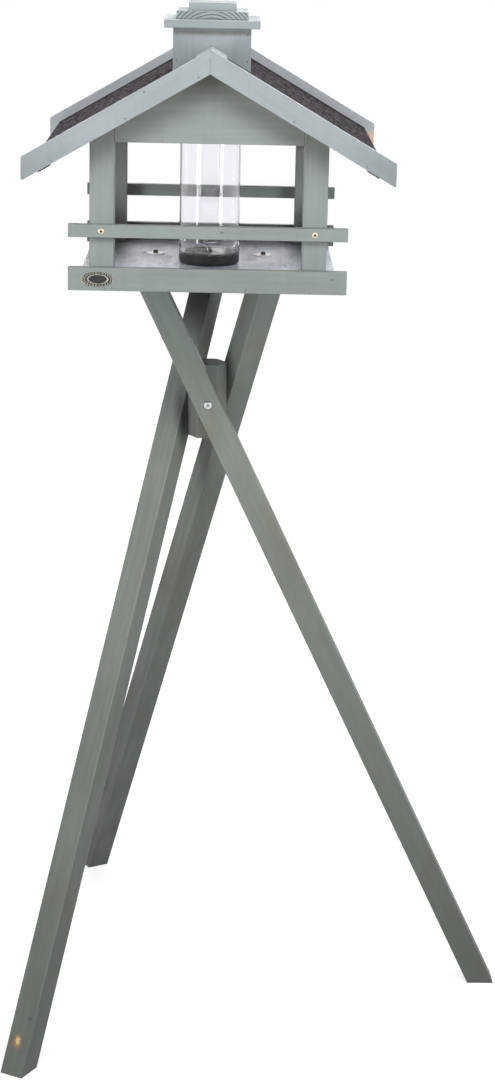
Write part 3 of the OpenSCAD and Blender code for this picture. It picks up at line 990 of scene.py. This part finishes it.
@cache
def cut_plastic_glow():
    """The feed ports' arched edges, matt from the cutter, with a painted glint that glows."""
    material, w, shader = new_material("cut_plastic_glow")
    place = w.place()
    chatter = w.noise(w.spread(place, (700, 700, 700)), 3.0, 0.6)
    body = w.blend(chatter, CUT_LIGHT, CUT_DARK)
    w.join(body, shader.inputs["Base Color"])
    w.join(w.fit(chatter, 0.3, 0.7, 0.3, 0.5), shader.inputs["Roughness"])
    # The painted glint: the cut face glows
    w.join(body, shader.inputs["Emission Color"])
    shader.inputs["Emission Strength"].default_value = PORT_PAINTED_GLOW
    set_bump(w, shader, chatter, 0.3, 0.1 * MM)
    return material


@cache
def black_plastic():
    """Moulded plug with fine turning marks and dust."""
    plug = colours().plug
    material, w, shader = new_material("black_plastic")
    dust = w.fit(w.noise(w.spread(w.place(), (120, 120, 120)), 4.0, 0.65), 0.42, 0.72)
    body = w.blend(w.times(dust, 0.35), opaque(plug), scaled(plug, 3.0))
    w.join(body, shader.inputs["Base Color"])
    w.join(w.fit(dust, 0, 1, 0.34, 0.55), shader.inputs["Roughness"])
    set_bump(w, shader, dust, 0.15, 0.2 * MM)
    return material


@cache
def recess_dark():
    """Shadowed socket of a screw or bolt, with grime in it."""
    material, w, shader = new_material("recess_dark")
    grime = w.noise(w.spread(w.place(), (900, 900, 900)), 3.0, 0.6)
    w.join(w.blend(grime, SOCKET_DARK, SOCKET_LIGHT), shader.inputs["Base Color"])
    shader.inputs["Metallic"].default_value = 0.6
    w.join(w.fit(grime, 0.3, 0.7, 0.5, 0.8), shader.inputs["Roughness"])
    return material


def metal(name, base, bright, dull, tarnish, metallic=1.0):
    """Scratched metal: its roughness where bright and where dull, and its share of tarnish."""
    material, w, shader = new_material(name)
    wear = w.group(metal_effect(), Place=w.place())
    body = w.blend(w.times(wear["Tarnish"], tarnish), opaque(base), scaled(base, 0.55))
    w.join(body, shader.inputs["Base Color"])
    shader.inputs["Metallic"].default_value = metallic
    w.join(w.fit(wear["Scratch"], 0, 1, bright, dull), shader.inputs["Roughness"])
    set_bump(w, shader, wear["Scratch"], 0.06, 0.03 * MM)
    return material


@cache
def zinc_plate():
    return metal("zinc", scaled(colours().zinc, 0.72)[:3], 0.2, 0.36, 0.5)


@cache
def washer_plate():
    """Dull plating, painted near white: a painted reflection of the white surroundings."""
    return metal("washer_plate", WASHER_REFLECTION_WHITE, 0.3, 0.45, 0.05, 0.1)


@cache
def dark_steel():
    return metal("dark_steel", colours().dark_steel, 0.4, 0.6, 0.6)


@cache
def painted_nail():
    return metal("painted_nail", colours().nail, 0.5, 0.7, 0.5, 0.3)


@cache
def brass_metal():
    return metal("brass", colours().brass, 0.25, 0.42, 0.3)


@cache
def badge_enamel():
    return metal("badge", colours().badge, 0.35, 0.6, 0.4, 0.0)


@cache
def pewter_rim():
    return metal("pewter", colours().pewter, 0.3, 0.5, 0.7)


class FEEDER_OT_tray(bpy.types.Operator):
    """Makes the floor sheet, the two fascias and the two rails"""

    bl_idname = "feeder.tray"
    bl_label = "Tray"
    bl_options = {"REGISTER", "UNDO"}

    def execute(self, context):
        radius = context.scene.feeder_sizes.board_arris
        timber("floor_board", floor_stain(), 0.5 * MM, Y, Z, tone=0.3)
        # The rear fascia's and the rear rail's lower tones are painted shade
        tones = {"front_fascia": -0.3, "rear_fascia": -0.6, "front_rail": 0.05, "rear_rail": -0.5}
        for node, tone in tones.items():
            face = -Y if node.startswith("front") else Y
            timber(node, tray_paint(), radius, X, face, tone=tone)
        return {"FINISHED"}


class FEEDER_OT_posts(bpy.types.Operator):
    """Makes the four square posts"""

    bl_idname = "feeder.posts"
    bl_label = "Posts"
    bl_options = {"REGISTER", "UNDO"}

    def execute(self, context):
        radius = context.scene.feeder_sizes.post_arris
        tones = {
            "post_front_left": 0.1,
            "post_front_right": -0.05,
            "post_rear_left": 0.2,
            "post_rear_right": 1.0,
        }
        for node, tone in tones.items():
            timber(node, tray_paint(), radius, Z, -Y, tone=tone)
        return {"FINISHED"}


class FEEDER_OT_gables(bpy.types.Operator):
    """Makes the front and rear gable boards and the eave battens"""

    bl_idname = "feeder.gables"
    bl_label = "Gables and battens"
    bl_options = {"REGISTER", "UNDO"}

    def execute(self, context):
        radius = context.scene.feeder_sizes.board_arris
        timber("front_gable", tray_paint(), radius, X, -Y, tone=0.4)
        timber("rear_gable", tray_paint(), radius, X, Y, tone=-0.1)
        timber("eave_batten_left", batten_wood(), radius, Y, Z, tone=0.4)
        timber("eave_batten_right", batten_wood(), radius, Y, Z, tone=-0.6)
        return {"FINISHED"}


class FEEDER_OT_roof(bpy.types.Operator):
    """Makes the roof panels and the felt on them"""

    bl_idname = "feeder.roof"
    bl_label = "Roof panels and felt"
    bl_options = {"REGISTER", "UNDO"}

    def execute(self, context):
        for side in ("left", "right"):
            node = "roof_panel_" + side
            panel = cad_mesh(node)
            lay_grain(panel, Y, Z, 0.2)
            finish_piece(panel, node, "board", bare_wood(), crease=40.0)
            node = "roof_felt_" + side
            felt = cad_mesh(node)
            # The right felt's lower tone is painted shade
            lay_grain(felt, Y, Z, -0.8 if side == "right" else 0.2)
            finish_piece(felt, node, "sheet", felt_granules(), crease=40.0)
        return {"FINISHED"}


class FEEDER_OT_barges(bpy.types.Operator):
    """Makes the four barge boards with softened lower corners, and the ridge strips"""

    bl_idname = "feeder.barges"
    bl_label = "Barge boards and ridge"
    bl_options = {"REGISTER", "UNDO"}

    def execute(self, context):
        sizes = context.scene.feeder_sizes
        boards = (
            ("barge_front_left", 0.45, roof_paint()),
            ("barge_front_right", 0.3, roof_paint()),
            ("barge_rear_left", -0.1, bleached_paint()),
            ("barge_rear_right", 0.2, bleached_paint()),
        )
        low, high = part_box("ridge_front")
        peak = (low.x + high.x) / 2

        def off_mitre(edge):
            return any(abs(v.co.x - peak) > MM for v in edge.verts)

        for node, tone, paint in boards:
            bm = block(node)
            along = long_edge(bm)
            lowest = min(v.co.z for v in bm.verts)
            corner = [e for e in bm.edges if all(v.co.z < lowest + MM for v in e.verts)]
            round_off(bm, corner, sizes.barge_corner, 4, clamp=False)
            ease(bm, sizes.board_arris, shortest=1.5 * MM, only=off_mitre)
            lay_grain(bm, along, -Y, tone, end=X)
            finish_timber(bm, node, paint)
        radius = sizes.board_arris
        # The front ridge strip's high tone is painted light
        timber("ridge_front", roof_paint(), radius, Y, Z, tone=1.0, shape=cad_mesh)
        timber("ridge_rear", roof_paint(), radius, Y, Z, tone=0.0, shape=cad_mesh)
        return {"FINISHED"}


class FEEDER_OT_chimney(bpy.types.Operator):
    """Makes the chimney's four boards"""

    bl_idname = "feeder.chimney"
    bl_label = "Chimney"
    bl_options = {"REGISTER", "UNDO"}

    def execute(self, context):
        radius = context.scene.feeder_sizes.board_arris
        boards = (
            ("chimney_front", -Y, -0.15),
            ("chimney_rear", Y, -0.05),
            ("chimney_left", -X, 0.05),
            ("chimney_right", X, 0.15),
        )
        for node, face, tone in boards:
            timber(node, roof_paint(), radius, Z, face, tone, shape=cad_mesh)
        return {"FINISHED"}


class FEEDER_OT_cap(bpy.types.Operator):
    """Makes the cap: three stacked boards and the locating board under them"""

    bl_idname = "feeder.cap"
    bl_label = "Chimney cap"
    bl_options = {"REGISTER", "UNDO"}

    def execute(self, context):
        radius = context.scene.feeder_sizes.board_arris
        timber("cap_lower", roof_paint(), radius, X, Z, tone=0.1)
        timber("cap_middle", roof_paint(), radius, Y, Z, tone=0.05)
        timber("cap_upper", roof_paint(), radius, X, Z, tone=-0.1)
        timber("cap_locator", bare_wood(), radius, X, Z, tone=0.6)
        return {"FINISHED"}


class FEEDER_OT_tube(bpy.types.Operator):
    """Makes the clear seed tube with its arched ports, the base plug and its screw"""

    bl_idname = "feeder.tube"
    bl_label = "Seed tube and plug"
    bl_options = {"REGISTER", "UNDO"}

    def execute(self, context):
        low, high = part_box("base_plug")
        centre = (low + high) / 2
        tube = cad_mesh("seed_tube", 0)
        for face in tube.faces:
            at_port = high.z < face.calc_center_median().z < high.z + PORT_REACH
            if at_port and face.normal.z < ARCH_LOOK:
                face.material_index = 1
        bores = [(v.co.xy - centre.xy).length for v in tube.verts]
        wall = max(bores) - min(bores) + 0.05 * MM
        shoulder = min(v.co.z for v in tube.verts) - low.z
        plastics = (clear_plastic(), cut_plastic_glow())
        finish_piece(tube, "seed_tube", "clear", plastics, crease=30.0)

        outer, rise = (high.x - low.x) / 2, high.z - low.z
        spigot = outer - wall
        # Up from the middle of the underside: the rounded rim, the tube's seat, the dished top
        base = [(0, 0), (outer - 4 * MM, 0), (outer - 1.6 * MM, 1.2 * MM)]
        base += [(outer - 0.4 * MM, 2.8 * MM), (outer, 4.4 * MM)]
        seat = [(outer, shoulder - 0.5 * MM), (outer - 0.5 * MM, shoulder), (spigot, shoulder)]
        top = [(spigot, rise - 0.6 * MM), (spigot - 0.2 * MM, rise - 0.2 * MM)]
        top += [(spigot - 0.8 * MM, rise), (spigot - 6 * MM, rise)]
        dish = [(spigot - 6.6 * MM, rise - 0.4 * MM), (10 * MM, rise - 0.4 * MM)]
        profile = base + seat + top + dish + [(9.4 * MM, rise), (0, rise)]
        plug = turned(profile, 96)
        plug.transform(Matrix.Translation((centre.x, centre.y, low.z)))
        finish_piece(plug, "base_plug", "moulded", black_plastic(), crease=30.0)

        points = islands("plug_screw")[0]
        screw = fastener(points, Z, PAN, cross(2.2 * MM, 0.6 * MM), 1.0 * MM)
        metals = (dark_steel(), recess_dark())
        finish_piece(screw, "plug_screw", "turned", metals)
        return {"FINISHED"}


class FEEDER_OT_stand(bpy.types.Operator):
    """Makes the bearers, the six-sided hub and the three square legs"""

    bl_idname = "feeder.stand"
    bl_label = "Tripod stand"
    bl_options = {"REGISTER", "UNDO"}

    def execute(self, context):
        sizes = context.scene.feeder_sizes
        timber("front_bearer", stand_paint(), sizes.leg_arris, X, -Y, tone=0.0)
        timber("rear_bearer", stand_paint(), sizes.leg_arris, X, -Y, tone=0.3)
        timber("tripod_hub", stand_paint(), sizes.hub_arris, Z, -Y, tone=-0.1)
        tones = {"leg_right": 0.0, "leg_rear_left": -0.15, "leg_front_left": 0.1}
        for node, tone in tones.items():
            bm = block(node)
            along = long_edge(bm)
            ease(bm, sizes.leg_arris, only=lambda e: runs_along(e, along))
            ends = [
                e
                for e in bm.edges
                if not runs_along(e, along)
                and e.calc_length() > 10 * MM
                and e.calc_face_angle_signed(0) > OUTWARD
            ]
            round_off(bm, ends, sizes.foot_arris, 2, clamp=False)
            lay_grain(bm, along, along.cross(Z), tone, end=Z)
            finish_timber(bm, node, stand_paint())
        return {"FINISHED"}


class FEEDER_OT_bolts(bpy.types.Operator):
    """Makes the hub bolts, the tray bolts and their washers"""

    bl_idname = "feeder.bolts"
    bl_label = "Bolts and washers"
    bl_options = {"REGISTER", "UNDO"}

    def execute(self, context):
        low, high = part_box("tripod_hub")
        hub = (low + high) / 2
        heads = []
        for points in islands("hub_bolts"):
            out = middle_of(points) - hub
            out.z = 0
            heads.append(fastener(points, out, DOME, hexagon(2.3 * MM), 1.4 * MM))
        metals = (zinc_plate(), pewter_rim())
        finish_piece(gather(heads), "hub_bolts", "turned", metals)

        heads = [
            fastener(points, Z, LOW, hexagon(1.5 * MM), 1.5 * MM)
            for points in islands("tray_bolts")
        ]
        metals = (dark_steel(), recess_dark())
        finish_piece(gather(heads), "tray_bolts", "turned", metals)

        rings = gather([washer(points) for points in islands("tray_washers")])
        finish_piece(rings, "tray_washers", "turned", washer_plate())
        return {"FINISHED"}


class FEEDER_OT_screws(bpy.types.Operator):
    """Makes the brass screws through the rails and the nails"""

    bl_idname = "feeder.screws"
    bl_label = "Screws and nails"
    bl_options = {"REGISTER", "UNDO"}

    def execute(self, context):
        low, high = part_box("floor_board")
        half_way = (low.y + high.y) / 2
        metals = (brass_metal(), recess_dark())
        for node, axis in (("rail_screws_front", -Y), ("rail_screws_rear", Y)):
            heads = [
                fastener(points, axis, PAN, cross(2.1 * MM, 0.75 * MM), 1.1 * MM)
                for points in islands(node)
            ]
            finish_piece(gather(heads), node, "turned", metals)
        for node in ("barge_nails_front", "barge_nails_rear", "chimney_nails", "fascia_nails"):
            nails = [
                nail(points, -Y if middle_of(points).y < half_way else Y)
                for points in islands(node)
            ]
            finish_piece(gather(nails), node, "driven", painted_nail())
        return {"FINISHED"}


class FEEDER_OT_badge(bpy.types.Operator):
    """Makes the blank oval badge with its raised, beaded rim"""

    bl_idname = "feeder.badge"
    bl_label = "Blank badge"
    bl_options = {"REGISTER", "UNDO"}

    def execute(self, context):
        bead = context.scene.feeder_sizes.bead
        low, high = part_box("badge_plate")
        centre = (low + high) / 2
        wide, tall, thick = (high - low).x / 2, (high - low).z / 2, (high - low).y
        bm = turned(BADGE_FORM, 72)
        bmesh.ops.scale(bm, vec=(wide, tall, thick), verts=bm.verts)
        for face in bm.faces:
            spot = face.calc_center_median()
            out = math.hypot(spot.x / wide, spot.y / tall)
            ground = 0.66 < out < 0.95 or out < 0.55
            face.material_index = 1 if ground and spot.z > 0.1 * thick else 0
        for count, share, ring in BADGE_BEADS:
            for i in range(count):
                angle = math.tau * i / count
                spot = (ring * wide * math.cos(angle), ring * tall * math.sin(angle), thick * 0.6)
                bmesh.ops.create_uvsphere(
                    bm,
                    u_segments=10,
                    v_segments=6,
                    radius=bead * share,
                    matrix=Matrix.Translation(spot),
                )
        bm.transform(Matrix.Rotation(math.radians(90), 4, "X"))
        bmesh.ops.translate(bm, vec=(centre.x, high.y, centre.z), verts=bm.verts)
        metals = (pewter_rim(), badge_enamel())
        finish_piece(bm, "badge_plate", "blank", metals, crease=40.0)
        return {"FINISHED"}


class FEEDER_OT_stage(bpy.types.Operator):
    """Makes the camera, the pale floor, the lamps and the world"""

    bl_idname = "feeder.stage"
    bl_label = "Stage"
    bl_options = {"REGISTER", "UNDO"}

    def execute(self, context):
        settings = context.scene.feeder_stage
        context.scene.view_settings.view_transform = "Standard"
        add_camera(context.scene)
        add_floor(context.scene, settings)
        add_world(context.scene, settings)
        add_lamps(context.scene, settings)
        return {"FINISHED"}


def add_camera(scene):
    """The photograph's view: its long side is the frame's height."""
    yaw, pitch, roll = CAMERA_YAW, CAMERA_PITCH, CAMERA_ROLL
    ahead = Vector(
        (math.sin(yaw) * math.cos(pitch), math.cos(yaw) * math.cos(pitch), -math.sin(pitch))
    )
    level = Vector((math.cos(yaw), -math.sin(yaw), 0))
    over = level.cross(ahead)
    right = level * math.cos(roll) + over * math.sin(roll)
    up = over * math.cos(roll) - level * math.sin(roll)
    data = bpy.data.cameras.new("photo_camera")
    data.sensor_width = SENSOR
    data.lens = CAMERA_LENS
    data.clip_start, data.clip_end = 0.05, 100.0
    camera = bpy.data.objects.new("photo_camera", data)
    turn = Matrix((right, up, -ahead)).transposed().to_4x4()
    camera.matrix_world = Matrix.Translation(CAMERA_PLACE) @ turn
    scene.collection.objects.link(camera)
    scene.camera = camera


def backdrop_ray(w):
    """1 for what the camera, a mirror or glass sees, 0 for what lights the object."""
    path = w.put("ShaderNodeLightPath").outputs
    seen = w.maths("MAXIMUM", path["Is Camera Ray"], path["Is Glossy Ray"])
    return w.maths("MAXIMUM", seen, path["Is Transmission Ray"])


def add_floor(scene, settings):
    """A pale disc that turns to plain white away from the feet."""
    bm = bmesh.new()
    bmesh.ops.create_circle(bm, cap_ends=True, segments=96, radius=FLOOR_RADIUS)
    bmesh.ops.translate(bm, vec=(0, 0, -FLOOR_DROP), verts=bm.verts)
    mesh = bpy.data.meshes.new("pale_floor")
    bm.to_mesh(mesh)
    bm.free()
    material = bpy.data.materials.new("pale_floor")
    material.use_nodes = True
    tree = material.node_tree
    w = Wiring(tree)
    tree.nodes.remove(tree.nodes["Principled BSDF"])
    matt = w.put("ShaderNodeBsdfDiffuse")
    matt.inputs["Color"].default_value = opaque((settings.floor_tone,) * 3)
    away = w.put("ShaderNodeVectorMath", w.place(), operation="LENGTH").outputs["Value"]
    glow = w.put("ShaderNodeEmission")
    share = w.fit(away, *GLOW_REACH, GLOW_NEAR, 1.0)
    w.join(w.times(backdrop_ray(w), share), glow.inputs["Strength"])
    white = w.put("ShaderNodeAddShader", matt.outputs[0], glow.outputs[0]).outputs[0]
    w.join(white, tree.nodes["Material Output"].inputs["Surface"])
    mesh.materials.append(material)
    floor = bpy.data.objects.new("pale_floor", mesh)
    scene.collection.objects.link(floor)


def add_world(scene, settings):
    """Even soft light, seen as white."""
    world = bpy.data.worlds.new("studio")
    world.use_nodes = True
    scene.world = world
    w = Wiring(world.node_tree)
    back = world.node_tree.nodes["Background"]
    back.inputs["Color"].default_value = (1, 1, 1, 1)
    strength = w.fit(backdrop_ray(w), 0.0, 1.0, settings.sky_light, 1.0, smooth=False)
    w.join(strength, back.inputs["Strength"])


def add_lamps(scene, settings):
    """Two tall strips in front, with soft lamps high in front, overhead and behind.

    Each lamp has its place, width, height and power, and looks at the tray.
    """
    tray = Vector((-0.08, -0.12, 1.15))
    strip = settings.strip_light
    lamps = {
        "left_strip": ((-1.60, -1.75, 1.30), 0.7, 1.2, strip),
        "right_strip": ((1.35, -1.82, 1.60), 0.7, 1.6, strip),
        "front_lamp": ((-0.1, -2.8, 3.0), 1.5, 1.0, settings.front_light),
        "top_lamp": ((0.5, 0.1, 2.9), 1.5, 1.3, settings.top_light),
        "back_lamp": ((-0.1, 2.2, 1.6), 2.0, 1.2, settings.back_light),
    }
    for name, (place, wide, tall, power) in lamps.items():
        data = bpy.data.lights.new(name, "AREA")
        data.shape = "RECTANGLE"
        data.size, data.size_y = wide, tall
        data.energy = power
        lamp = bpy.data.objects.new(name, data)
        lamp.location = place
        lamp.rotation_mode = "QUATERNION"
        lamp.rotation_quaternion = (tray - Vector(place)).to_track_quat("-Z", "Y")
        lamp.visible_camera = False
        lamp.visible_transmission = not name.startswith("back")
        scene.collection.objects.link(lamp)


PIECES = (
    FEEDER_OT_tray,
    FEEDER_OT_posts,
    FEEDER_OT_gables,
    FEEDER_OT_roof,
    FEEDER_OT_barges,
    FEEDER_OT_chimney,
    FEEDER_OT_cap,
    FEEDER_OT_tube,
    FEEDER_OT_stand,
    FEEDER_OT_bolts,
    FEEDER_OT_screws,
    FEEDER_OT_badge,
    FEEDER_OT_stage,
)


class FEEDER_PT_panel(bpy.types.Panel):
    """The bird feeder's settings and pieces"""

    bl_label = "Bird Feeder"
    bl_idname = "FEEDER_PT_panel"
    bl_space_type = "VIEW_3D"
    bl_region_type = "UI"
    bl_category = "Bird Feeder"

    def draw(self, context):
        for settings in (
            context.scene.feeder_sizes,
            context.scene.feeder_colours,
            context.scene.feeder_stage,
        ):
            box = self.layout.box()
            for name in settings.__annotations__:
                box.prop(settings, name)
        for piece in PIECES:
            self.layout.operator(piece.bl_idname)


SETTINGS = {
    "feeder_sizes": FeederSizes,
    "feeder_colours": FeederColours,
    "feeder_stage": FeederStage,
}
CLASSES = (*SETTINGS.values(), *PIECES, FEEDER_PT_panel)


def register():
    for kind in CLASSES:
        bpy.utils.register_class(kind)
    for name, kind in SETTINGS.items():
        setattr(bpy.types.Scene, name, PointerProperty(type=kind))


def unregister():
    for name in SETTINGS:
        delattr(bpy.types.Scene, name)
    for kind in reversed(CLASSES):
        bpy.utils.unregister_class(kind)


def main():
    register()
    for piece in PIECES:
        group, name = piece.bl_idname.split(".")
        getattr(getattr(bpy.ops, group), name)()


if __name__ == "__main__":
    main()
